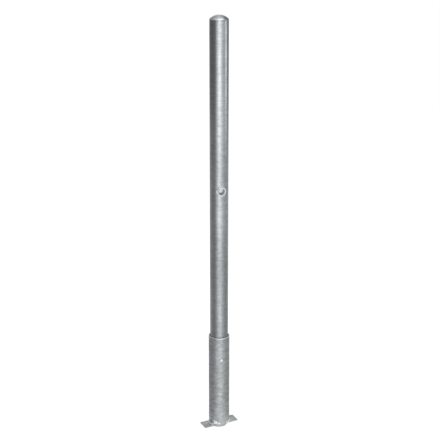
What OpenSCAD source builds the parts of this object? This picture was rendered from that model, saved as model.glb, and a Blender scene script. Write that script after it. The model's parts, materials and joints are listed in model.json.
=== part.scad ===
// Removable bollard: a galvanised steel post that stands in a welded ground socket.
// The post's slots sit on a cross pin in the socket. A three-sided key turns the lock.
// Frame: +Z up, origin on the underside of the foot bar, on the post's axis.
// The key lock faces -Y, and the cross pin lies along Y.

/* [Post] */
// Outside diameter of the post tube
post_d = 60.3; // [48:0.1:64]
// Wall of the post tube
post_wall = 2.6; // [2:0.1:4]
// Height of the post's top above the socket's rim
post_rise = 1070; // [800:5:1400]
// Depth of the post's lower end below the socket's rim
insert_depth = 200; // [140:5:240]
// Rise of the dished cap above the tube
cap_rise = 13; // [8:0.5:20]
// Wall of the dished cap
cap_wall = 3; // [2:0.1:4]
// Depth of the weld groove round the cap
cap_groove = 1.5; // [0.8:0.1:1.8]

/* [Ground socket] */
// Outside diameter of the socket tube
socket_d = 70; // [69:0.1:90]
// Wall of the socket tube
socket_wall = 2.9; // [2:0.1:3.6]
// Length of the socket tube
socket_len = 325; // [260:5:450]
// Length of the flat bar under the socket
foot_l = 125; // [100:1:200]
// Width of the flat bar
foot_w = 40; // [30:1:60]
// Thickness of the flat bar
foot_t = 5; // [4:0.5:10]
// Turn of the flat bar away from the X axis
foot_turn = 12; // [-20:1:20]
// Leg of the fillet weld between socket and flat bar
foot_weld_leg = 4; // [2:0.5:6]
// Distance from the weld's ends to the flat bar's edges
foot_weld_end = 1; // [0.5:0.5:5]

/* [Cross pin] */
// Depth of the cross pin below the socket's rim
pin_drop = 80; // [50:5:110]
// Diameter of the cross pin
pin_d = 10; // [8:0.5:14]
// How far the pin's ends stand out of the socket
pin_proud = 1.5; // [0.5:0.1:2.5]
// Chamfer on the pin's ends
pin_chamfer = 1; // [0.5:0.1:2]
// Width of the weld round each pin end
pin_weld_w = 2; // [1:0.5:4]
// Thickness of the weld round each pin end
pin_weld_t = 1.1; // [0.5:0.1:2]

/* [Key lock] */
// Height of the key lock above the socket's rim
lock_rise = 512; // [300:1:700]
// Outside diameter of the lock barrel
barrel_d = 29; // [25:0.5:34]
// Diameter of the key recess in the barrel
recess_d = 22; // [18:0.5:24]
// Depth of the key recess
recess_deep = 24; // [18:0.5:26]
// Thickness of the barrel's back wall
barrel_back = 5; // [3:0.5:8]
// How far the barrel stands out of the post
barrel_proud = 3; // [1:0.5:6]
// Width of the weld round the barrel
barrel_weld_w = 3; // [2:0.5:5]
// Thickness of the weld round the barrel
barrel_weld_t = 2; // [1:0.1:3]

/* [Key spindle] */
// Side of the three-sided spindle head
key_side = 14; // [10:0.5:15]
// Diameter of the flange under the head
flange_d = 18; // [14:0.5:18]
// Thickness of the flange
flange_t = 2; // [1:0.5:3]
// How far the head stays below the barrel's mouth
head_inset = 13; // [8:0.5:14]
// Diameter of the spindle's shaft
shaft_d = 10; // [6:0.5:12]
// Width of the spindle nut across its flats
nut_af = 17; // [13:0.5:19]
// Thickness of the spindle nut
nut_t = 6; // [4:0.5:8]
// How far the shaft stands out behind the nut
shaft_tail = 1; // [0.5:0.5:3]

/* [Clearances] */
// Radial clearance of the shaft in the barrel and of the nut on the shaft
shaft_clear = 0.05; // [0.02:0.01:0.1]
// End play of the spindle in the barrel
end_play = 0.3; // [0.2:0.1:0.6]
// Radial gap between the barrel and the hole in the post
barrel_clear = 0.2; // [0.1:0.1:0.5]
// Radial gap between the cross pin and the holes in the socket
pin_clear = 0.1; // [0.1:0.1:0.5]
// Gap on each side of the cross pin in the post's slots
slot_clear = 1; // [0.5:0.1:2]
// Gap between the cross pin and the slots' upper ends
seat_gap = 0.2; // [0.1:0.1:0.5]

/* [Hidden] */
$fn = 128;

post_r = post_d / 2;
post_bore_r = post_r - post_wall;
socket_r = socket_d / 2;
rim_z = foot_t + socket_len;
post_bottom_z = rim_z - insert_depth;
tube_top_z = rim_z + post_rise - cap_rise;
cap_sphere_r = (post_r * post_r + cap_rise * cap_rise) / (2 * cap_rise);
cap_centre_z = tube_top_z + cap_rise - cap_sphere_r;
cap_r = post_r - cap_groove;
cap_weld_crown = 0.2;

lock_z = rim_z + lock_rise;
pin_z = rim_z - pin_drop;
pin_reach = socket_r + pin_proud;
slot_w = pin_d + 2 * slot_clear;
slot_top_z = pin_z + pin_d / 2 + seat_gap - slot_w / 2;

// Distances from the post's axis along the lock's axis
mouth = post_r + barrel_proud;
recess_floor = mouth - recess_deep;
barrel_end = recess_floor - barrel_back;
flange_face = recess_floor + end_play + flange_t;
nut_face = barrel_end - end_play;
nut_end = nut_face - nut_t;
shaft_end = nut_end - shaft_tail;

// How far a cutting shape runs past the face that it cuts
overcut = 1;

// Places its children, made along +Z, on an axis that leaves the post towards -Y at height z
module facing_front(z) {
    translate([0, 0, z]) rotate([90, 0, 0]) children();
}

// A round bar along +Z from one height to another
module bar(d, from, to) {
    translate([0, 0, from]) cylinder(h = to - from, d = d);
}

// Weld bead on a tube's outside, round a bar that leaves it towards -Y at height z
module saddle_weld(tube_d, bar_d, bead_w, bead_t, z) {
    outer_d = bar_d + 2 * bead_w;
    difference() {
        intersection() {
            facing_front(z) bar(outer_d, 0, tube_d);
            bar(tube_d + 2 * bead_t, z - outer_d, z + outer_d);
        }
        bar(tube_d, z - outer_d - overcut, z + outer_d + overcut);
        facing_front(z) bar(bar_d, -overcut, tube_d + overcut);
    }
}

// Height of the cap's outer face at a distance r from the axis
function cap_z(r) = cap_centre_z + sqrt(cap_sphere_r * cap_sphere_r - r * r);

module foot_bar() {
    color("darkgray")
    rotate([0, 0, foot_turn])
    translate([-foot_l / 2, -foot_w / 2, 0])
    cube([foot_l, foot_w, foot_t]);
}

// Fillet weld along the stretch of the socket that stands on one arm of the bar
module foot_weld(arm_direction) {
    toe_r = socket_r + foot_weld_leg;
    half_angle = asin((foot_w / 2 - foot_weld_end) / toe_r);
    color("gainsboro")
    translate([0, 0, foot_t])
    rotate([0, 0, foot_turn + arm_direction - half_angle])
    rotate_extrude(angle = 2 * half_angle)
    polygon([[socket_r, 0], [toe_r, 0], [socket_r, foot_weld_leg]]);
}

module socket_tube() {
    color("silver")
    difference() {
        bar(socket_d, foot_t, rim_z);
        bar(socket_d - 2 * socket_wall, foot_t - overcut, rim_z + overcut);
        facing_front(pin_z) bar(pin_d + 2 * pin_clear, -socket_r - overcut, socket_r + overcut);
    }
}

// Pin with chamfered ends, from one side of the socket to the other
module cross_pin() {
    pin_r = pin_d / 2;
    color("silver")
    facing_front(pin_z)
    rotate_extrude()
    polygon([
        [0, -pin_reach],
        [pin_r - pin_chamfer, -pin_reach],
        [pin_r, -pin_reach + pin_chamfer],
        [pin_r, pin_reach - pin_chamfer],
        [pin_r - pin_chamfer, pin_reach],
        [0, pin_reach]
    ]);
}

module pin_weld() {
    color("gainsboro") saddle_weld(socket_d, pin_d + 2 * pin_clear, pin_weld_w, pin_weld_t, pin_z);
}

module post_tube() {
    color("lightgray")
    difference() {
        rotate_extrude()
        polygon([
            [post_bore_r, post_bottom_z],
            [post_r, post_bottom_z],
            [post_r, tube_top_z - cap_groove],
            [cap_r, tube_top_z],
            [post_bore_r, tube_top_z]
        ]);
        facing_front(lock_z) bar(barrel_d + 2 * barrel_clear, 0, post_r + overcut);
        pin_slots();
    }
}

// The slots in the post's front and back that sit on the cross pin, open at the lower end
module pin_slots() {
    facing_front(slot_top_z) bar(slot_w, -post_r - overcut, post_r + overcut);
    translate([-slot_w / 2, -post_r - overcut, post_bottom_z - overcut])
    cube([slot_w, post_d + 2 * overcut, slot_top_z - post_bottom_z + overcut]);
}

module post_cap() {
    color("lightgray")
    intersection() {
        translate([0, 0, cap_centre_z])
        difference() {
            sphere(r = cap_sphere_r);
            sphere(r = cap_sphere_r - cap_wall);
        }
        bar(2 * cap_r, tube_top_z, tube_top_z + cap_rise + overcut);
    }
}

// Weld that fills the groove between tube and cap
module cap_weld() {
    color("whitesmoke")
    rotate_extrude()
    polygon([
        [cap_r, tube_top_z],
        [post_r, tube_top_z - cap_groove],
        [post_r + cap_weld_crown, tube_top_z - cap_groove / 2],
        [post_r, tube_top_z],
        [cap_r, cap_z(cap_r)]
    ]);
}

// Round barrel with the key recess in front and a back wall that carries the spindle
module lock_barrel() {
    color("silver")
    facing_front(lock_z)
    difference() {
        bar(barrel_d, barrel_end, mouth);
        bar(recess_d, recess_floor, mouth + overcut);
        bar(shaft_d + 2 * shaft_clear, barrel_end - overcut, recess_floor + overcut);
    }
}

module barrel_weld() {
    color("gainsboro")
    saddle_weld(post_d, barrel_d, barrel_weld_w, barrel_weld_t, lock_z);
}

// Three-sided head with one flat downwards, its flange and its shaft
module key_spindle() {
    color("gold")
    facing_front(lock_z) {
        bar(shaft_d, shaft_end, flange_face - flange_t);
        bar(flange_d, flange_face - flange_t, flange_face);
        translate([0, 0, flange_face])
        rotate([0, 0, 90])
        cylinder(h = mouth - head_inset - flange_face, r = key_side / sqrt(3), $fn = 3);
    }
}

module spindle_nut() {
    color("goldenrod")
    facing_front(lock_z)
    difference() {
        translate([0, 0, nut_end]) cylinder(h = nut_t, r = nut_af / sqrt(3), $fn = 6);
        bar(shaft_d + 2 * shaft_clear, nut_end - overcut, nut_face + overcut);
    }
}

foot_bar();
foot_weld(180);  // foot_weld_left
foot_weld(0);  // foot_weld_right
socket_tube();
cross_pin();
pin_weld();  // pin_weld_front
rotate([0, 0, 180]) pin_weld();  // pin_weld_back
post_tube();
post_cap();
cap_weld();
lock_barrel();
barrel_weld();
key_spindle();
spindle_nut();
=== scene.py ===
# %% [markdown]
# # A removable bollard of galvanised steel
#
# The object is a round steel post that lifts out of a socket in the ground. A dished cap closes
# its top, a key lock sits half way up, and the socket stands on a flat bar that concrete will
# hold. Everything was welded first and then dipped in molten zinc, so one grey metal covers it.
#
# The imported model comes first. It fixes every size and place, and each piece below takes its
# measures from it, so nothing has to be fitted by eye.

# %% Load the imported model
import json
import math

import bmesh
import bpy
from mathutils import Matrix, Vector, noise

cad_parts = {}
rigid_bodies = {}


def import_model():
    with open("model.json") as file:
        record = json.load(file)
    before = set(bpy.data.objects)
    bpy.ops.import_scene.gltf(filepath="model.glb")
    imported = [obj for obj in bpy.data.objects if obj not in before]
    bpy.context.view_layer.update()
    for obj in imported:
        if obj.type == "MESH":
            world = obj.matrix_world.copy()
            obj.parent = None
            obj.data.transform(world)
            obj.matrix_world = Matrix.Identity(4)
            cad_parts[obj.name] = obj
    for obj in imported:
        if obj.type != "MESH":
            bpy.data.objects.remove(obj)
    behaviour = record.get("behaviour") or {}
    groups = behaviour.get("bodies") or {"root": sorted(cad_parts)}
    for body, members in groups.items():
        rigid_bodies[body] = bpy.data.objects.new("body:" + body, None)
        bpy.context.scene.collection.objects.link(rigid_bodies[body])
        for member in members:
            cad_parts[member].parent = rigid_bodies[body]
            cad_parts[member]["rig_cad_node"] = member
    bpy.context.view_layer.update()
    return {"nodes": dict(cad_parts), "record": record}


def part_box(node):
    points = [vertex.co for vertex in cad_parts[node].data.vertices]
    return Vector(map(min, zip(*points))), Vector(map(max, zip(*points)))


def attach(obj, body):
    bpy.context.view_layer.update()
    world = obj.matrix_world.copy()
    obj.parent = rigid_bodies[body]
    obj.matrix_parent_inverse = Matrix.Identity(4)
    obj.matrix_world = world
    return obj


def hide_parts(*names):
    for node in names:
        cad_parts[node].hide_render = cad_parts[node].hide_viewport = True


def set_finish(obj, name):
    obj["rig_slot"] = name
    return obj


MM = 0.001
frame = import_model()
print("nodes:", sorted(frame["nodes"]))

# %% [markdown]
# ## The measures
#
# Boxes give the outside sizes. A tube's bore doesn't show in its box, so it is read from the
# node's own points as their smallest distance from the axis. Walls and gaps follow from these.

# %% Measure the nodes
def bore_radius(node_name):
    """Smallest distance of a node's points from the post's axis."""
    return min(math.hypot(v.co.x, v.co.y) for v in frame["nodes"][node_name].data.vertices)


def half_width(node_name):
    """Half of a node's size along X."""
    low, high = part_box(node_name)
    return (high.x - low.x) / 2


post_low, post_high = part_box("post_tube")
post_r = half_width("post_tube")
post_bore_r = bore_radius("post_tube")
socket_low, socket_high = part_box("socket_tube")
socket_r = half_width("socket_tube")
socket_bore_r = bore_radius("socket_tube")
cap_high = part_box("post_cap")[1]
cap_r = half_width("post_cap")
foot_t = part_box("foot_bar")[1].z
print(f"post radius {post_r / MM:.2f} mm, bore {post_bore_r / MM:.2f} mm")
print(f"socket radius {socket_r / MM:.2f} mm, bore {socket_bore_r / MM:.2f} mm")

# %% Measure the lock and the pin
lock_low, lock_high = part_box("lock_barrel")
lock_z = (lock_low.z + lock_high.z) / 2
barrel_r = half_width("lock_barrel")
lock_bead_r = half_width("barrel_weld")
spindle_low, spindle_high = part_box("key_spindle")
flange_r = half_width("key_spindle")
pin_low, pin_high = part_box("cross_pin")
pin_z = (pin_low.z + pin_high.z) / 2
pin_r = half_width("cross_pin")
pin_bead_r = half_width("pin_weld_front")
print(f"lock at {lock_z / MM:.1f} mm, pin at {pin_z / MM:.1f} mm")

# %% [markdown]
# ## The camera
#
# A product picture of a tall thin thing is taken from a little above, from a few metres away,
# with a long lens. The camera stands to the left of the lock, so the lock shows three quarters
# round. Its axes are set directly, because a track constraint would lose the small roll.

# %% Place the camera
camera_azimuth = math.radians(-14.23)
camera_distance = 3448.83 * MM
camera_height = 1890.65 * MM
camera_pitch = math.radians(18.5)
camera_yaw = math.radians(-0.05)
camera_roll = math.radians(0.02)

camera_data = bpy.data.cameras.new("camera")
camera_data.sensor_width = 36
camera_data.lens = 91.52
camera = bpy.data.objects.new("camera", camera_data)
bpy.context.scene.collection.objects.link(camera)
bpy.context.scene.camera = camera

heading = camera_azimuth + camera_yaw
look = Vector((-math.sin(heading) * math.cos(camera_pitch),
               math.cos(heading) * math.cos(camera_pitch),
               -math.sin(camera_pitch)))
right = Vector((math.cos(heading), math.sin(heading), 0))
right.rotate(Matrix.Rotation(-camera_roll, 3, look))
up = right.cross(look)
camera.matrix_world = Matrix.Translation((
    camera_distance * math.sin(camera_azimuth),
    -camera_distance * math.cos(camera_azimuth),
    camera_height,
)) @ Matrix((right, up, -look)).transposed().to_4x4()
print("camera looks along", [round(c, 3) for c in look])

# %% [markdown]
# ## How the pieces are made
#
# Almost every piece is turned or rolled, so it is a closed outline swept round an axis. A spin
# does in one step what a lathe does. The outline is a short loop of points, with arcs worked out
# by a rule, and the spin is a full turn, so its last ring is merged with its first.
#
# Spins can come out inside out, so each mesh is cleaned and its normals are worked out again.
# Edges sharper than the given angle stay crisp, and all others are shaded smooth.

# %% Turn a bmesh into a piece
usual_sharp_angle = 35
same_point = 1e-6


def finish_piece(bm, name, body, slot, replaced, sharp_angle=usual_sharp_angle):
    """Cleans a bmesh and makes it a named piece that rides on a body and stands for CAD nodes."""
    bmesh.ops.remove_doubles(bm, verts=bm.verts, dist=same_point)
    bmesh.ops.recalc_face_normals(bm, faces=bm.faces)
    for face in bm.faces:
        face.smooth = True
    mesh = bpy.data.meshes.new(name)
    bm.to_mesh(mesh)
    bm.free()
    mesh.set_sharp_from_angle(angle=math.radians(sharp_angle))
    piece = bpy.data.objects.new(name, mesh)
    bpy.context.scene.collection.objects.link(piece)
    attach(piece, body)
    if replaced:
        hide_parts(*replaced)
    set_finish(piece, slot)
    print(f"{name}: {len(mesh.polygons)} faces")
    return piece


def closed_outline(bm, points):
    """A closed loop of edges through points of (radius, height), in the XZ plane."""
    verts = [bm.verts.new((radius, 0, height)) for radius, height in points]
    edges = [bm.edges.new((a, b)) for a, b in zip(verts, verts[1:] + verts[:1])]
    return verts + edges


def lathe(bm, points, steps):
    """Sweeps a closed outline a full turn round Z."""
    bmesh.ops.spin(bm, geom=closed_outline(bm, points), cent=(0, 0, 0), axis=(0, 0, 1),
                   angle=math.tau, steps=steps, use_merge=True)


def arc(centre, radius, first, last, parts):
    """Points on an arc in the (radius, height) plane, from one angle to another in degrees."""
    angles = [math.radians(first + (last - first) * i / parts) for i in range(parts + 1)]
    return [(centre[0] + radius * math.cos(a), centre[1] + radius * math.sin(a)) for a in angles]


def round_outline(centre, radius):
    """A full circle of 16 points in the (radius, height) plane."""
    return arc(centre, radius, 0, 337.5, 15)


def stretch(first, last, pitch):
    """Heights from first to last, both included, about a pitch apart."""
    parts = max(1, round(abs(last - first) / pitch))
    return [first + (last - first) * i / parts for i in range(parts + 1)]


# %% [markdown]
# ### Zinc is never quite even
#
# Molten zinc drains down a tube as it leaves the bath and freezes in long shallow waves. They are
# a few hundredths of a millimetre high, but they bend every reflection. A bump map could fake
# them, but real relief also shows in the exported mesh, so the points themselves are moved.

# %% Move points like draining zinc
def zinc_waves(bm, height, across, along, seed, outer_r):
    """Moves the outer wall's points in or out by noise that is longer along the tube than round it."""
    outer_wall_starts = outer_r * 0.985
    offset = Vector((seed, seed * 0.37, 0))
    for vert in bm.verts:
        radius = math.hypot(vert.co.x, vert.co.y)
        if radius < outer_wall_starts:
            continue
        spot = Vector((vert.co.x / across, vert.co.y / across, vert.co.z / along)) + offset
        push = height * noise.noise(spot)
        vert.co.x *= 1 + push / radius
        vert.co.y *= 1 + push / radius


# %% [markdown]
# ### Holes
#
# The barrel and the pin pass through the tubes, and two slots let the post down over the pin. A
# cut like this could be modelled ring by ring, but a Boolean with a clean cutter gives the exact
# edge on a fine mesh. It is applied at once, so the piece keeps a plain mesh. The solver leaves a
# few triangles without any area where new edges nearly meet old points, so those are dissolved.

# %% Cut a piece with a cutter
def cut(piece, cutter_bm):
    """Takes a closed cutter out of a piece and removes the cutter."""
    bmesh.ops.recalc_face_normals(cutter_bm, faces=cutter_bm.faces)
    cutter_mesh = bpy.data.meshes.new("cutter")
    cutter_bm.to_mesh(cutter_mesh)
    cutter_bm.free()
    cutter = bpy.data.objects.new("cutter", cutter_mesh)
    bpy.context.scene.collection.objects.link(cutter)
    modifier = piece.modifiers.new("cut", "BOOLEAN")
    modifier.operation = "DIFFERENCE"
    modifier.solver = "EXACT"
    modifier.object = cutter
    bpy.context.view_layer.update()
    depsgraph = bpy.context.evaluated_depsgraph_get()
    result = bpy.data.meshes.new_from_object(piece.evaluated_get(depsgraph))
    result.name = piece.name
    cleaned = bmesh.new()
    cleaned.from_mesh(result)
    bmesh.ops.dissolve_degenerate(cleaned, dist=2 * same_point, edges=cleaned.edges)
    cleaned.to_mesh(result)
    cleaned.free()
    piece.modifiers.remove(modifier)
    piece.data = result
    bpy.data.objects.remove(cutter)
    result.set_sharp_from_angle(angle=math.radians(usual_sharp_angle))
    print(f"{piece.name}: {len(result.polygons)} faces after the cut")


def round_cutter(radius, centre_z, first_y, last_y, segments=96):
    """A round bar along Y."""
    bm = bmesh.new()
    middle = Matrix.Translation((0, (first_y + last_y) / 2, centre_z))
    bmesh.ops.create_cone(bm, cap_ends=True, segments=segments, radius1=radius, radius2=radius,
                          depth=abs(last_y - first_y),
                          matrix=middle @ Matrix.Rotation(math.pi / 2, 4, "X"))
    return bm


# %% [markdown]
# ## The post
#
# The post is a length of 60.3 mm tube. Its top edge is chamfered for the weld that holds the cap,
# and its lower edge was only deburred, so it has a small round. The wall outline has a point every
# few millimetres, because the zinc's waves need points to move.

# %% Spin the post
post_steps = 192
ring_pitch = 7 * MM
bore_pitch = 40 * MM
clear_of_round = 3 * MM
clear_of_edge = 2 * MM
edge_round = 0.5 * MM
groove = post_r - cap_r

post_outline = (
    arc((post_r - edge_round, post_low.z + edge_round), edge_round, -90, 0, 4)
    + [(post_r, z) for z in stretch(post_low.z + clear_of_round,
                                    post_high.z - groove - clear_of_edge, ring_pitch)]
    + [(post_r, post_high.z - groove), (cap_r, post_high.z), (post_bore_r, post_high.z)]
    + [(post_bore_r, z) for z in stretch(post_high.z - clear_of_edge, post_low.z, bore_pitch)]
)
bm = bmesh.new()
lathe(bm, post_outline, post_steps)
zinc_waves(bm, height=0.08 * MM, across=26 * MM, along=90 * MM, seed=3.1, outer_r=post_r)
post_shell = finish_piece(bm, "post_shell", "post", "galvanised_post", ["post_tube"])

# %% [markdown]
# The lock's hole is a slip fit round the barrel. The slots are as wide as the pin with a
# millimetre to spare on each side, end in a half round just above it, and are open at the bottom.
# The slot's cutter is a disc whose lower half is pulled down past the tube's end.

# %% Cut the lock's hole and the pin's slots
barrel_gap = 0.2 * MM
slot_gap = 1 * MM
seat_gap = 0.2 * MM
well_outside = 1.3 * post_r
cut(post_shell, round_cutter(barrel_r + barrel_gap, lock_z, -well_outside, -0.3 * post_r))

slot_r = pin_r + slot_gap
slot_centre = pin_z + pin_r + seat_gap - slot_r
level_slack = 0.01 * MM
past_the_end = 5 * MM
bm = bmesh.new()
bmesh.ops.create_circle(bm, cap_ends=True, segments=64, radius=slot_r,
                        matrix=Matrix.Rotation(math.pi / 2, 4, "X"))
for vert in bm.verts:
    vert.co.y = -well_outside
    if vert.co.z < -level_slack:
        vert.co.z = post_low.z - slot_centre - past_the_end
    vert.co.z += slot_centre
wall = bmesh.ops.extrude_face_region(bm, geom=list(bm.faces), use_keep_orig=True)
far_end = [item for item in wall["geom"] if isinstance(item, bmesh.types.BMVert)]
bmesh.ops.translate(bm, verts=far_end, vec=(0, 2 * well_outside, 0))
cut(post_shell, bm)

# %% [markdown]
# ## The dished cap
#
# The cap is a pressed disc of 3 mm plate, a slice of a big sphere. So a fine sphere is cut by the
# plane of the tube's end, the slice is kept, and the wall is added inwards. The radius follows
# from the cap's width and height.

# %% Slice the cap from a sphere
cap_rise = cap_high.z - post_high.z
cap_sphere_r = (post_r ** 2 + cap_rise ** 2) / (2 * cap_rise)
cap_wall = 3 * MM
cut_height = post_high.z + 0.6 * MM

bm = bmesh.new()
bmesh.ops.create_uvsphere(bm, u_segments=160, v_segments=160, radius=cap_sphere_r,
                          matrix=Matrix.Translation((0, 0, cap_high.z - cap_sphere_r)))
bmesh.ops.bisect_plane(bm, geom=bm.verts[:] + bm.edges[:] + bm.faces[:],
                       plane_co=(0, 0, cut_height), plane_no=(0, 0, 1), clear_inner=True)
bmesh.ops.recalc_face_normals(bm, faces=bm.faces)
top_face = max(bm.faces, key=lambda face: face.calc_center_median().z)
if top_face.normal.z < 0:
    bmesh.ops.reverse_faces(bm, faces=bm.faces)
bmesh.ops.solidify(bm, geom=bm.faces[:], thickness=cap_wall)
finish_piece(bm, "cap_dome", "post", "galvanised_post", ["post_cap"])

# %% [markdown]
# ## Weld beads
#
# A weld bead is a rope of steel laid down in overlapping ripples. Zinc then rounds it off. Each
# bead is a ring of round outline, and one rule puts ripples and slow lumps on it: the outline's
# thickness goes up and down along the bead. The round weld at the cap was dressed almost flush, so
# it takes the post's own finish.

# %% Ripple a bead
def ripple(bm, centre_r, bead_z, thickness_of):
    """Scales the round outline of a ring about its core line, as a function of the angle round Z."""
    for vert in bm.verts:
        angle = math.atan2(vert.co.y, vert.co.x)
        core = Vector((centre_r * math.cos(angle), centre_r * math.sin(angle), bead_z))
        vert.co = core + (vert.co - core) * thickness_of(angle)


def lumps(angle, size, seed):
    """Slow noise round a ring that meets itself."""
    return noise.noise(Vector((math.cos(angle) * size, math.sin(angle) * size, seed)))


# %% Lay the cap's bead
cap_bead_r = 1.3 * MM
cap_bead_core = half_width("cap_weld") - cap_bead_r
cap_bead_z = post_high.z - 0.1 * MM
bm = bmesh.new()
lathe(bm, round_outline((cap_bead_core, cap_bead_z), cap_bead_r), 288)
ripple(bm, cap_bead_core, cap_bead_z,
       lambda angle: 0.84 + 0.04 * math.sin(angle * 58) + 0.1 * lumps(angle, 7, 2.5))
finish_piece(bm, "cap_weld_bead", "post", "galvanised_post", ["cap_weld"], 60)

# %% [markdown]
# A bead round a bar that stands out of a tube is a ring too, but it lies on the tube's curved
# wall like a saddle. It is spun flat, turned to face the front, and then each point is moved back
# as far as the tube's wall falls away under it. The beads round the pin are thin and drained, so
# they are as dull as the socket.

# %% Shape a bead to a tube's wall
def saddle_bead(name, body, slot, replaced, tube_r, core_r, bead_r, centre_z, side, ripples, seed):
    """A rippled ring on a tube's wall, round a bar along Y.

    The side is -1 in front and 1 at the back.
    """
    bm = bmesh.new()
    lathe(bm, round_outline((core_r, 0), bead_r), 192)
    ripple(bm, core_r, 0, lambda angle: 0.88 + 0.07 * math.sin(angle * ripples + seed)
           + 0.16 * lumps(angle, 2.2, seed))
    bmesh.ops.rotate(bm, verts=bm.verts, matrix=Matrix.Rotation(-math.pi / 2 * side, 3, "X"))
    for vert in bm.verts:
        reach = min(abs(vert.co.x), tube_r * 0.98)
        vert.co.y += side * math.sqrt(tube_r ** 2 - reach ** 2)
        vert.co.z += centre_z
    return finish_piece(bm, name, body, slot, replaced, 60)


# %% Lay the beads of the lock and the pin
lock_bead_fuller = 0.25 * MM
pin_bead_fuller = 0.05 * MM
saddle_bead("lock_weld_bead", "post", "galvanised_weld", ["barrel_weld"], post_r,
            (barrel_r + lock_bead_r) / 2, (lock_bead_r - barrel_r) / 2 + lock_bead_fuller,
            lock_z, -1, 34, 4.2)
for place, side in (("front", -1), ("back", 1)):
    saddle_bead(f"pin_weld_bead_{place}", "ground_socket", "galvanised_socket", [f"pin_weld_{place}"],
                socket_r, (pin_r + pin_bead_r) / 2, (pin_bead_r - pin_r) / 2 + pin_bead_fuller,
                pin_z, side, 17, 7.7 + side)

# %% [markdown]
# ## The key lock
#
# The barrel is a turned cup that is welded into the post. The key reaches in through its mouth.
# Zinc leaves no sharp edge, so the mouth is rounded outside and inside. The outline is drawn along
# the barrel's own axis and the finished cup is laid down to face the front.

# %% Lay a turned piece along the lock's axis
def lay_along_lock(bm):
    """Turns a piece that was made along +Z so that +Z becomes -Y at the lock's height."""
    bmesh.ops.rotate(bm, verts=bm.verts, matrix=Matrix.Rotation(math.pi / 2, 3, "X"))
    bmesh.ops.translate(bm, verts=bm.verts, vec=(0, 0, lock_z))


# %% Turn the lock's barrel
recess_r = 11 * MM
flange_t = 2 * MM
end_play = 0.3 * MM
shaft_r = 5 * MM
shaft_gap = 0.05 * MM
mouth_round = 0.8 * MM
barrel_mouth = -lock_low.y
barrel_end = -lock_high.y
barrel_back = 5 * MM
recess_floor = barrel_end + barrel_back
print(f"recess {(barrel_mouth - recess_floor) / MM:.1f} mm deep")

barrel_outline = (
    [(shaft_r + shaft_gap, barrel_end), (barrel_r - edge_round, barrel_end)]
    + [(barrel_r, barrel_end + edge_round)]
    + arc((barrel_r - mouth_round, barrel_mouth - mouth_round), mouth_round, 0, 90, 5)
    + arc((recess_r + mouth_round, barrel_mouth - mouth_round), mouth_round, 90, 180, 5)
    + [(recess_r, recess_floor), (shaft_r + shaft_gap, recess_floor)]
)
bm = bmesh.new()
lathe(bm, barrel_outline, 128)
lay_along_lock(bm)
finish_piece(bm, "lock_barrel_cup", "post", "galvanised_lock", ["lock_barrel"])

# %% [markdown]
# The spindle is what the key turns. Its head has three flats, so that no common spanner fits it.
# A disc of three corners is extruded for the head, and its edges are bevelled as a machinist would
# break them. The flange and the shaft are spun as one outline.

# %% Make the key spindle
key_side = 14 * MM
flange_chamfer = 0.3 * MM
head_bevel = 0.6 * MM
head_face = -spindle_low.y
shaft_end = -spindle_high.y
flange_face = recess_floor + end_play + flange_t

spindle_outline = (
    [(0, shaft_end), (shaft_r - edge_round, shaft_end), (shaft_r, shaft_end + edge_round)]
    + [(shaft_r, flange_face - flange_t), (flange_r, flange_face - flange_t)]
    + [(flange_r, flange_face - flange_chamfer), (flange_r - flange_chamfer, flange_face)]
    + [(0, flange_face)]
)
bm = bmesh.new()
lathe(bm, spindle_outline, 96)
bmesh.ops.remove_doubles(bm, verts=bm.verts, dist=same_point)

head = bmesh.new()
bmesh.ops.create_circle(head, cap_ends=True, segments=3, radius=key_side / math.sqrt(3))
top = bmesh.ops.extrude_face_region(head, geom=list(head.faces), use_keep_orig=True)
top_verts = [item for item in top["geom"] if isinstance(item, bmesh.types.BMVert)]
bmesh.ops.translate(head, verts=top_verts, vec=(0, 0, head_face - flange_face))
bmesh.ops.recalc_face_normals(head, faces=head.faces)
bmesh.ops.bevel(head, geom=head.edges[:], offset=head_bevel, offset_type="OFFSET",
                affect="EDGES", segments=3, profile=0.5, material=-1)
highest = max(head.verts, key=lambda vert: vert.co.y)
print("head's corner at angle", round(math.degrees(math.atan2(highest.co.y, highest.co.x)), 1))
bmesh.ops.translate(head, verts=head.verts, vec=(0, 0, flange_face))
head_mesh = bpy.data.meshes.new("head")
head.to_mesh(head_mesh)
head.free()
bm.from_mesh(head_mesh)
bpy.data.meshes.remove(head_mesh)
lay_along_lock(bm)
finish_piece(bm, "key_spindle_head", "key_lock", "plated_spindle", ["key_spindle"])

# %% [markdown]
# ## The ground socket
#
# The socket is a 70 mm tube with a slip fit round the post. Its rim is level with the ground in
# use, so it is rounded. It came out of the zinc rougher than the post, so its waves are shorter
# and higher.

# %% Spin the socket
rim_outer_round = 2.1 * MM
rim_inner_round = 0.7 * MM
below_rim = 4 * MM
socket_ring_pitch = 4 * MM
socket_outline = (
    arc((socket_r - edge_round, socket_low.z + edge_round), edge_round, -90, 0, 3)
    + [(socket_r, z) for z in stretch(socket_low.z + clear_of_round,
                                      socket_high.z - below_rim, socket_ring_pitch)]
    + arc((socket_r - rim_outer_round, socket_high.z - rim_outer_round), rim_outer_round, 0, 90, 8)
    + arc((socket_bore_r + rim_inner_round, socket_high.z - rim_inner_round), rim_inner_round,
          90, 180, 4)
    + [(socket_bore_r, z) for z in stretch(socket_high.z - below_rim, socket_low.z, bore_pitch)]
)
bm = bmesh.new()
lathe(bm, socket_outline, post_steps)
zinc_waves(bm, height=0.22 * MM, across=17 * MM, along=34 * MM, seed=8.4, outer_r=socket_r)
socket_shell = finish_piece(bm, "socket_shell", "ground_socket", "galvanised_socket", ["socket_tube"])
pin_gap = 0.1 * MM
cut(socket_shell, round_cutter(pin_r + pin_gap, pin_z, -1.3 * socket_r, 1.3 * socket_r))

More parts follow.
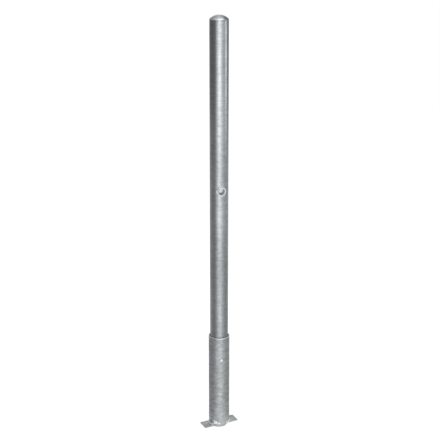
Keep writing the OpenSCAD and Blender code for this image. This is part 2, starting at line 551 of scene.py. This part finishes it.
# %% [markdown]
# ## The cross pin
#
# The post rests on this pin. Its ends stand a little out of the socket and were welded, and the
# zinc pooled on them and left them domed. A cylinder with bevelled rims reads as flat, so both
# ends are drawn as low domes by an arc of the outline. The pin takes the welds' finish, which
# this low down is painted paler as a highlight on the domes.

# %% Spin the cross pin
pin_reach = pin_high.y
dome = 0.8 * MM
dome_r = (pin_r ** 2 + dome ** 2) / (2 * dome)
dome_angle = math.degrees(math.asin(pin_r / dome_r))

upper_dome = arc((0, pin_reach - dome_r), dome_r, 90 - dome_angle, 90, 8)
lower_dome = arc((0, dome_r - pin_reach), dome_r, -90, dome_angle - 90, 8)
bm = bmesh.new()
lathe(bm, lower_dome + upper_dome, 64)
bmesh.ops.rotate(bm, verts=bm.verts, matrix=Matrix.Rotation(math.pi / 2, 3, "X"))
bmesh.ops.translate(bm, verts=bm.verts, vec=(0, 0, pin_z))
finish_piece(bm, "cross_pin_bar", "ground_socket", "galvanised_weld", ["cross_pin"], 50)

# %% [markdown]
# ## The foot bar
#
# A flat bar across the socket's lower end keeps it from turning or pulling out of the concrete.
# It was sawn from stock, so it is a plain bar with broken edges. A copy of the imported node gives
# its corners, whatever way it is turned, and a bevel rounds them.

# %% Bevel the foot bar
bm = bmesh.new()
bm.from_mesh(frame["nodes"]["foot_bar"].data)
bmesh.ops.remove_doubles(bm, verts=bm.verts, dist=same_point)
flat_enough = math.radians(1)
bmesh.ops.dissolve_limit(bm, angle_limit=flat_enough, verts=bm.verts, edges=bm.edges)
print("foot bar corners:", len(bm.verts))
longest = max(bm.edges, key=lambda edge: edge.calc_length())
along = (longest.verts[1].co - longest.verts[0].co).normalized()
foot_turn = math.atan2(along.y, along.x) % math.pi
bar_bevel = 0.9 * MM
bmesh.ops.bevel(bm, geom=bm.edges[:], offset=bar_bevel, offset_type="OFFSET", affect="EDGES",
                segments=3, profile=0.5, material=-1)
finish_piece(bm, "foot_plate", "ground_socket", "galvanised_socket", ["foot_bar"])
print(f"foot bar turned {math.degrees(foot_turn):.1f} degrees")

# %% [markdown]
# Each end of the bar carries a fillet weld along the socket. It is the same rope as the other
# beads, but it has two ends, where the welder's arc started and stopped. A disc is spun through
# part of a turn, and the outline shrinks towards both ends.

# %% Shape a fillet weld
weld_half_length = 19 * MM


def fillet_bead(name, replaced, direction, seed):
    """A rippled bead along the socket's foot, centred on one direction round Z."""
    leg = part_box(replaced)[1].z - foot_t
    toe_r = socket_r + leg
    half_angle = math.asin(weld_half_length / toe_r)
    bead_r = leg * 0.85
    core_out = leg * 0.2
    core = (socket_r + core_out, foot_t + core_out)
    bm = bmesh.new()
    disc = bmesh.ops.create_circle(bm, cap_ends=True, segments=20, radius=bead_r,
                                   matrix=Matrix.Rotation(math.pi / 2, 4, "X"))
    bmesh.ops.translate(bm, verts=disc["verts"], vec=(core[0], 0, core[1]))
    bmesh.ops.rotate(bm, verts=bm.verts, matrix=Matrix.Rotation(direction - half_angle, 3, "Z"))
    bmesh.ops.spin(bm, geom=bm.verts[:] + bm.edges[:] + bm.faces[:], cent=(0, 0, 0),
                   axis=(0, 0, 1), angle=2 * half_angle, steps=90, use_merge=False)
    for vert in bm.verts:
        angle = math.atan2(vert.co.y, vert.co.x)
        turn = (angle - direction + math.pi) % math.tau - math.pi
        end = min(1, abs(turn) / half_angle)
        size = math.sqrt(max(0.04, 1 - end ** 6))
        size *= 0.9 + 0.06 * math.sin(turn * 44) + 0.1 * noise.noise(Vector((turn * 5, seed, 0)))
        middle = Vector((core[0] * math.cos(angle), core[0] * math.sin(angle), core[1]))
        vert.co = middle + (vert.co - middle) * size
    return finish_piece(bm, name, "ground_socket", "galvanised_weld", [replaced], 60)


# %% Lay the fillet welds
fillet_bead("foot_weld_bead_left", "foot_weld_left", foot_turn + math.pi, 1.3)
fillet_bead("foot_weld_bead_right", "foot_weld_right", foot_turn, 5.9)

# %% [markdown]
# ## Lumps of zinc
#
# Where zinc drains past a weld it freezes in drops. They sit beside the lock and along the foot of
# the socket. Each is a small sphere, flattened against its wall, and its place is listed one by one
# because real drops follow no pattern. Drops that share a body and a finish are one piece.

# %% Shape drops on a tube's wall
def zinc_drops(name, body, slot, tube_r, drops):
    """Flattened spheres on a tube's wall, as (angle round Z in degrees, height, width, tall, proud)."""
    bm = bmesh.new()
    for angle, height, width, tall, proud in drops:
        turn = Matrix.Rotation(math.radians(angle), 4, "Z")
        place = turn @ Matrix.Translation((tube_r, 0, height)) @ Matrix.Diagonal((
            proud * MM, width / 2 * MM, tall / 2 * MM, 1))
        bmesh.ops.create_uvsphere(bm, u_segments=20, v_segments=12, radius=1, matrix=place)
    return finish_piece(bm, name, body, slot, [], 80)


# %% Freeze the drops
front = -90
zinc_drops("lock_zinc_drops", "post", "galvanised_post", post_r, [
    (front + 13, lock_z + 22 * MM, 7, 7, 0.8),
    (front - 1, lock_z + 24 * MM, 6, 9, 0.7),
    (front + 31, lock_z + 18 * MM, 6, 8, 0.7),
    (front - 14, lock_z - 24 * MM, 9, 9, 0.6),
    (front + 9, lock_z - 22 * MM, 6, 6, 0.7),
])
# These drops take the welds' finish, which this low down is painted paler as a highlight.
zinc_drops("foot_zinc_drops", "ground_socket", "galvanised_weld", socket_r, [
    (front - 41, foot_t + 9 * MM, 11, 9, 1.5),
    (front - 54, foot_t + 3 * MM, 8, 7, 2.2),
    (front - 28, foot_t + 10 * MM, 9, 7, 0.9),
    (front - 14, foot_t + 8 * MM, 8, 7, 1.0),
    (front + 38, foot_t + 5 * MM, 8, 7, 1.3),
    (front + 55, foot_t + 7 * MM, 7, 10, 1.3),
    (front - 47, foot_t + 15 * MM, 11, 8, 0.8),
    (front - 33, foot_t + 14 * MM, 9, 6, 0.6),
    (front + 150, foot_t + 6 * MM, 9, 8, 1.2),
    (front + 205, foot_t + 5 * MM, 7, 7, 1.2),
])

# %% [markdown]
# The last of the zinc hangs in dull drips from the socket's lower edge. Two more patches of it lie
# higher up, where it ran slowly.

# %% Freeze the drips
zinc_drops("foot_zinc_drips", "ground_socket", "galvanised_socket", socket_r, [
    (front - 47, 4.3 * MM, 10, 8, 1.2),
    (front - 35, 4.2 * MM, 13, 8, 1.1),
    (front - 22, 4.4 * MM, 13, 8.4, 1.2),
    (front - 9, 4.2 * MM, 12, 8, 1.1),
    (front + 3, 4.5 * MM, 11, 7.6, 1.0),
    (front + 15, 4.6 * MM, 11, 7, 1.0),
    (front - 37, 76 * MM, 12, 8, 0.45),
    (front - 46, 66 * MM, 9, 6, 0.4),
])

# %% [markdown]
# ## The finishes
#
# All of it is zinc. What differs is how the zinc froze: in broad soft flakes on the smooth post,
# in dull mottled grain on the rough socket, and pooled and bright on the welds. Each finish is a
# metal whose tone, gloss and relief come from patterns measured in millimetres.
#
# A pattern's scale in Blender is in repeats to the metre, so it is worked out from the real size.

# %% One helper that adds a node
def linear(hex_colour):
    """An sRGB hex colour as the linear colour that a shader takes."""
    parts = [int(hex_colour[i:i + 2], 16) / 255 for i in (1, 3, 5)]
    return [c / 12.92 if c <= 0.04045 else ((c + 0.055) / 1.055) ** 2.4 for c in parts] + [1]


def add_node(tree, kind, inputs=None, **settings):
    """Adds a node, sets its settings, and fills its inputs with values or links from outputs.

    A Mix node's two colours are inputs 6 and 7, and its mixed colour is output 2.
    """
    made = tree.nodes.new(kind)
    for name, value in settings.items():
        setattr(made, name, value)
    for name, value in (inputs or {}).items():
        if isinstance(value, bpy.types.NodeSocket):
            tree.links.new(value, made.inputs[name])
        else:
            made.inputs[name].default_value = value
    return made


def repeats(size_mm):
    """A texture scale that repeats about once in this many millimetres."""
    return 1000 / size_mm


# %% [markdown]
# ### Hot-dip zinc
#
# One recipe makes all five zinc finishes. Slow noise, stretched along the tube, makes the dull
# clouds. A cell pattern makes the spangle, the flakes that zinc freezes in, each a little lighter
# or darker than the next. Fine grain takes the edge off the gloss. The relief uses the same
# clouds and grain, so light and shape agree. A metal keeps the default IOR.

# %% Write the zinc recipe
cloud_weight, spangle_weight, grain_weight = 0.74, 0.16, 0.1
half_range = 0.16
grain_mm = 1.6
line_mm = 5
line_stretch = 0.12


def zinc(name, dark, light, gloss, spangle_mm, cloud_mm, drawn, relief_mm, contrast=1.0,
         streaks=0.0, painted_highlight=None):
    """A galvanised finish. The drawn value stretches the clouds along the tube.

    The last argument paints a highlight as a paler colour: it gives that colour, a height where it
    starts and a height where it is full.
    Pale gives a paler colour, a height where it starts and a height where it is full.
    """
    material = bpy.data.materials.new(name)
    material.use_nodes = True
    tree = material.node_tree
    shader = tree.nodes["Principled BSDF"]
    shader.inputs["Metallic"].default_value = 1
    place = add_node(tree, "ShaderNodeTexCoord").outputs["Object"]
    stretched = add_node(tree, "ShaderNodeMapping", {"Vector": place, "Scale": (1, 1, 1 / drawn)})
    clouds = add_node(tree, "ShaderNodeTexNoise", {
        "Vector": stretched.outputs["Vector"], "Scale": repeats(cloud_mm), "Detail": 4,
        "Roughness": 0.55})
    flakes = add_node(tree, "ShaderNodeTexVoronoi", {
        "Vector": place, "Scale": repeats(spangle_mm), "Randomness": 1})
    flake_tone = add_node(tree, "ShaderNodeSeparateColor", {"Color": flakes.outputs["Color"]})
    grain = add_node(tree, "ShaderNodeTexNoise", {
        "Vector": place, "Scale": repeats(grain_mm), "Detail": 3, "Roughness": 0.6})
    mixed = add_node(tree, "ShaderNodeMath", {
        0: clouds.outputs["Fac"], 1: cloud_weight}, operation="MULTIPLY")
    mixed = add_node(tree, "ShaderNodeMath", {
        0: flake_tone.outputs["Red"], 1: spangle_weight, 2: mixed.outputs["Value"]},
        operation="MULTIPLY_ADD")
    mixed = add_node(tree, "ShaderNodeMath", {
        0: grain.outputs["Fac"], 1: grain_weight, 2: mixed.outputs["Value"]},
        operation="MULTIPLY_ADD")
    round_the_tube = add_node(tree, "ShaderNodeMapping", {
        "Vector": place, "Scale": (line_stretch, line_stretch, 1)})
    lines = add_node(tree, "ShaderNodeTexNoise", {
        "Vector": round_the_tube.outputs["Vector"], "Scale": repeats(line_mm), "Detail": 3,
        "Roughness": 0.7})
    level_lines = add_node(tree, "ShaderNodeMath", {
        0: lines.outputs["Fac"], 1: 0.5}, operation="SUBTRACT")
    mixed = add_node(tree, "ShaderNodeMath", {
        0: level_lines.outputs["Value"], 1: streaks, 2: mixed.outputs["Value"]},
        operation="MULTIPLY_ADD")
    spread = half_range / contrast
    tone = add_node(tree, "ShaderNodeMapRange", {
        "Value": mixed.outputs["Value"], "From Min": 0.5 - spread, "From Max": 0.5 + spread})
    colour = add_node(tree, "ShaderNodeMix", {
        0: tone.outputs["Result"], 6: linear(dark), 7: linear(light)}, data_type="RGBA")
    # Painted highlight: between two heights the colour turns paler, standing in for reflected light.
    if painted_highlight:
        highlight_colour, highlight_starts, highlight_full = painted_highlight
        height_here = add_node(tree, "ShaderNodeSeparateXYZ", {"Vector": place})
        highlight_mask = add_node(tree, "ShaderNodeMapRange", {
            "Value": height_here.outputs["Z"], "From Min": highlight_starts, "From Max": highlight_full})
        colour = add_node(tree, "ShaderNodeMix", {
            0: highlight_mask.outputs["Result"], 6: colour.outputs[2], 7: linear(highlight_colour)},
            data_type="RGBA")
    tree.links.new(colour.outputs[2], shader.inputs["Base Color"])
    roughness = add_node(tree, "ShaderNodeMapRange", {
        "Value": tone.outputs["Result"], "To Min": gloss[1], "To Max": gloss[0]})
    tree.links.new(roughness.outputs["Result"], shader.inputs["Roughness"])
    height = add_node(tree, "ShaderNodeMath", {
        0: grain.outputs["Fac"], 1: 0.05, 2: clouds.outputs["Fac"]}, operation="MULTIPLY_ADD")
    height = add_node(tree, "ShaderNodeMath", {
        0: lines.outputs["Fac"], 1: streaks, 2: height.outputs["Value"]}, operation="MULTIPLY_ADD")
    bump = add_node(tree, "ShaderNodeBump", {
        "Height": height.outputs["Value"], "Distance": relief_mm * MM, "Strength": 1})
    tree.links.new(bump.outputs["Normal"], shader.inputs["Normal"])
    return material


# %% [markdown]
# ### The five finishes
#
# The post's tube was cold drawn, so its zinc is smooth and its clouds run along it. The socket is
# duller and blotchy. Welds hold more zinc, so they are lighter and smoother. The barrel was turned
# on a lathe before it was dipped. The spindle is zinc plated, which is thinner and more even.
# Two of them have a highlight painted in as a paler colour by height on the object: the socket at
# its rim, and the welds low down.

# %% Make the finishes
rim_highlight_starts, rim_highlight_full = socket_high.z - 3 * MM, socket_high.z - 1.5 * MM
low_weld_highlight_start, low_weld_highlight_full = 450 * MM, 350 * MM
finishes = {
    # Semi-gloss: the window shows as a soft band with edges that wander a little
    "galvanised_post": zinc("galvanised_drawn_tube", "#A1A4A6", "#BCC0C3", (0.25, 0.34),
                            9, 55, 4, 0.3, streaks=0.6),
    # Matt: the band widens and breaks up into patches. The paler rim is a painted highlight
    "galvanised_socket": zinc("galvanised_rough_tube", "#A8ABAC", "#C4C7C9", (0.46, 0.58),
                              7, 20, 0.35, 0.45, contrast=1.1, streaks=0.5,
                              painted_highlight=("#E4E7E9", rim_highlight_starts, rim_highlight_full)),
    # Pooled zinc: small bright glints on every ripple. Low down, the paler colour is a painted
    # highlight
    "galvanised_weld": zinc("galvanised_weld_bead", "#C6CACC", "#E2E6E8", (0.3, 0.44),
                            4, 6, 1, 0.2, painted_highlight=("#EAEDEE", low_weld_highlight_start, low_weld_highlight_full)),
    # Turned face: even, and clearly paler than the post
    "galvanised_lock": zinc("galvanised_turned_steel", "#C6C9CA", "#D6D9DA", (0.24, 0.32),
                            5, 9, 1, 0.12),
    # Thin bright plating: little pattern, satin
    "plated_spindle": zinc("zinc_plated_steel", "#CFD2D1", "#DEE1E0", (0.26, 0.36),
                           3, 12, 1, 0.02),
}
print("finishes:", ", ".join(sorted(finishes)))

# %% Put the finishes on
# A piece of its own carries its slot's name. An imported node has its slot in the record.
for piece in list(bpy.context.scene.objects):
    if piece.type != "MESH":
        continue
    slot_name = piece.get("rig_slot")
    if slot_name is None:
        slot_name = next(part["material_slot"] for part in frame["record"]["subparts"]
                         if part["node"] == piece.get("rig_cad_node"))
    piece.data.materials.clear()
    piece.data.materials.append(finishes[slot_name])
    print(piece.name, "has", slot_name)

# %% [markdown]
# ## The studio
#
# Polished metal has no look of its own: it shows the room. So the room is built for it. The floor
# and the world are white to the camera, and a round screen stands close about the post, where only
# reflections see it. Going round, it is a dark flag on the left, a bright window in front, and
# grey on the right. That is what gives a round tube its dark side and its band of light.
#
# The floor glows just enough to look white, and takes the rest of its light from the lamp and the
# sky, so that the object still casts a soft shadow.

# %% Make the sky
sky_light = 0.35
world = bpy.data.worlds.new("studio_sky")
bpy.context.scene.world = world
world.use_nodes = True
tree = world.node_tree
tree.nodes.clear()
path = add_node(tree, "ShaderNodeLightPath")
seen = add_node(tree, "ShaderNodeMath", {
    0: path.outputs["Is Camera Ray"], 1: path.outputs["Is Glossy Ray"]}, operation="MAXIMUM")
seen = add_node(tree, "ShaderNodeMath", {
    0: seen.outputs["Value"], 1: path.outputs["Is Transmission Ray"]}, operation="MAXIMUM")
sky_strength = add_node(tree, "ShaderNodeMapRange", {
    "Value": seen.outputs["Value"], "To Min": sky_light, "To Max": 1})
sky = add_node(tree, "ShaderNodeBackground", {
    "Color": (1, 1, 1, 1), "Strength": sky_strength.outputs["Result"]})
add_node(tree, "ShaderNodeOutputWorld", {"Surface": sky.outputs["Background"]})
print("sky: white to the camera, and", sky_light, "as light")

# %% Lay the floor
floor_grey, floor_glow = 0.8, 0.72
floor_half = 30
floor_material = bpy.data.materials.new("studio_floor")
floor_material.use_nodes = True
tree = floor_material.node_tree
tree.nodes.clear()
paper = add_node(tree, "ShaderNodeBsdfDiffuse", {"Color": [floor_grey] * 3 + [1]})
path = add_node(tree, "ShaderNodeLightPath")
seen = add_node(tree, "ShaderNodeMath", {
    0: path.outputs["Is Camera Ray"], 1: path.outputs["Is Glossy Ray"]}, operation="MAXIMUM")
glow_strength = add_node(tree, "ShaderNodeMath", {
    0: seen.outputs["Value"], 1: floor_glow}, operation="MULTIPLY")
glow = add_node(tree, "ShaderNodeEmission", {
    "Color": (1, 1, 1, 1), "Strength": glow_strength.outputs["Value"]})
both = add_node(tree, "ShaderNodeAddShader", {0: paper.outputs["BSDF"], 1: glow.outputs["Emission"]})
add_node(tree, "ShaderNodeOutputMaterial", {"Surface": both.outputs["Shader"]})

bm = bmesh.new()
bmesh.ops.create_grid(bm, x_segments=1, y_segments=1, size=floor_half)
floor_mesh = bpy.data.meshes.new("floor")
bm.to_mesh(floor_mesh)
bm.free()
floor_mesh.materials.append(floor_material)
floor = bpy.data.objects.new("floor", floor_mesh)
bpy.context.scene.collection.objects.link(floor)
print("floor:", 2 * floor_half, "m across")

# %% [markdown]
# The screen is an open cylinder whose own front points at the camera. Its tone is a ramp over the
# angle round it. There are four ramps, for the foot, the middle and the top of the post and for
# the part above the cap. The screen fades from one to the next, because light in a real room
# changes with height too. Each stop is an angle, from the left at -90 to the right at 90, and how
# bright the screen is there.
#
# It hangs in slats, like a blind. A steep reflection from a rounded rim rises between them to the
# white sky, while a level or falling one from the post's side always meets a slat. A flat ring on
# the floor carries the same tones in to the foot.

# %% Write down the screen's size and tones
screen_r = 220 * MM
screen_top = post_high.z + 320 * MM
slat_h = 50 * MM
slat_lean = slat_h / math.tan(math.radians(80))
floor_ring_r = 80 * MM
screen_tones = {
    "foot": [(-180, 0.8), (-125, 0.5), (-85, 0.32), (-58, 0.28), (-36, 0.42), (-16, 0.9), (8, 1.3),
             (20, 1.2), (42, 0.75), (66, 0.5), (90, 0.38), (125, 0.5)],
    "middle": [(-180, 0.8), (-125, 0.5), (-95, 0.32), (-60, 0.27), (-38, 0.42), (-20, 1.0), (2, 1.65),
               (14, 1.5), (34, 1.0), (58, 0.66), (85, 0.54), (120, 0.55)],
    "top": [(-180, 0.34), (-150, 0.3), (-90, 0.17), (-42, 0.19), (-22, 0.85), (2, 1.95), (12, 1.85),
            (32, 0.98), (58, 0.62), (70, 0.62), (82, 1.6), (92, 1.3), (106, 0.3), (118, 0.22),
            (150, 0.3)],
    "over_cap": [(-180, 0.95), (-150, 0.55), (-118, 0.34), (-70, 0.36), (-25, 0.7), (0, 0.9),
                 (25, 0.7), (70, 0.36), (116, 0.16), (150, 0.26)],
}
screen_fades = {"middle": (0.5, 0.68), "top": (0.85, 1.2), "over_cap": (1.42, 1.44)}
tone_limit = 2.0
print("screen: radius", round(screen_r / MM), "mm, height", round(screen_top / MM), "mm")

# %% Make the screen's material
def tone_ramp(tree, angle, stops):
    """A ramp over the angle, from -180 to 180 degrees, that comes back to its first tone."""
    ramp = add_node(tree, "ShaderNodeValToRGB", {"Fac": angle})
    ramp.color_ramp.interpolation = "EASE"
    marks = ramp.color_ramp.elements
    for degrees, tone in stops + [(180, stops[0][1])]:
        spot = (degrees + 180) / 360
        if spot == 0:
            mark = marks[0]
        elif spot == 1:
            mark = marks[-1]
        else:
            mark = marks.new(spot)
        mark.color = [tone / tone_limit] * 3 + [1]
    return ramp.outputs["Color"]


screen_material = bpy.data.materials.new("studio_screen")
screen_material.use_nodes = True
tree = screen_material.node_tree
tree.nodes.clear()
place = add_node(tree, "ShaderNodeTexCoord").outputs["Object"]
axes = add_node(tree, "ShaderNodeSeparateXYZ", {"Vector": place})
towards = add_node(tree, "ShaderNodeMath", {0: axes.outputs["Y"], 1: -1}, operation="MULTIPLY")
turn = add_node(tree, "ShaderNodeMath", {
    0: axes.outputs["X"], 1: towards.outputs["Value"]}, operation="ARCTAN2")
share = add_node(tree, "ShaderNodeMapRange", {
    "Value": turn.outputs["Value"], "From Min": -math.pi, "From Max": math.pi})
tone = tone_ramp(tree, share.outputs["Result"], screen_tones["foot"])
for part, (fade_from, fade_to) in screen_fades.items():
    fade = add_node(tree, "ShaderNodeMapRange", {
        "Value": axes.outputs["Z"], "From Min": fade_from, "From Max": fade_to})
    tone = add_node(tree, "ShaderNodeMix", {
        0: fade.outputs["Result"], 6: tone,
        7: tone_ramp(tree, share.outputs["Result"], screen_tones[part])},
        data_type="RGBA").outputs[2]
    print("screen's tones fade to", part, "from", fade_from, "to", fade_to, "m")
glow = add_node(tree, "ShaderNodeEmission", {"Color": tone, "Strength": tone_limit})
add_node(tree, "ShaderNodeOutputMaterial", {"Surface": glow.outputs["Emission"]})

# %% Hang the slats and lay the floor ring
bm = bmesh.new()
slat_count = round(screen_top / slat_h)
for index in range(slat_count):
    middle = screen_top - (index + 0.5) * slat_h
    bmesh.ops.create_cone(bm, cap_ends=False, segments=96, radius1=screen_r,
                          radius2=screen_r + slat_lean, depth=slat_h,
                          matrix=Matrix.Translation((0, 0, middle)))
bmesh.ops.create_cone(bm, cap_ends=False, segments=96, radius1=screen_r, radius2=floor_ring_r,
                      depth=0.2 * MM, matrix=Matrix.Translation((0, 0, 0.3 * MM)))
print("slats:", slat_count)
screen_mesh = bpy.data.meshes.new("screen")
bm.to_mesh(screen_mesh)
bm.free()
screen_mesh.materials.append(screen_material)
screen = bpy.data.objects.new("screen", screen_mesh)
screen.rotation_euler.z = camera_azimuth
bpy.context.scene.collection.objects.link(screen)
for sight in ("camera", "diffuse", "transmission", "shadow", "volume_scatter"):
    setattr(screen, f"visible_{sight}", False)

# %% [markdown]
# A broad lamp hangs high in front and to the right. It lights the cap's shoulder and the floor,
# and its size keeps the shadow soft.

# %% Hang the lamp
lamp_data = bpy.data.lights.new("softbox", "AREA")
lamp_data.shape = "DISK"
lamp_data.size = 3.6  # metres
lamp_data.energy = 38  # watts
lamp = bpy.data.objects.new("softbox", lamp_data)
lamp.location = (0.4, -1.2, 3.6)
lamp_aim = Vector((0, 0, 0.4))
lamp.rotation_euler = (lamp_aim - lamp.location).to_track_quat("-Z", "Y").to_euler()
lamp.visible_camera = False
bpy.context.scene.collection.objects.link(lamp)
print("lamp:", lamp_data.energy, "W, aimed at", tuple(round(v, 2) for v in lamp_aim))

# %% [markdown]
# ## The last lines
#
# Standard keeps a colour as it is written.

# %% Keep colours as written
bpy.context.scene.view_settings.view_transform = "Standard"
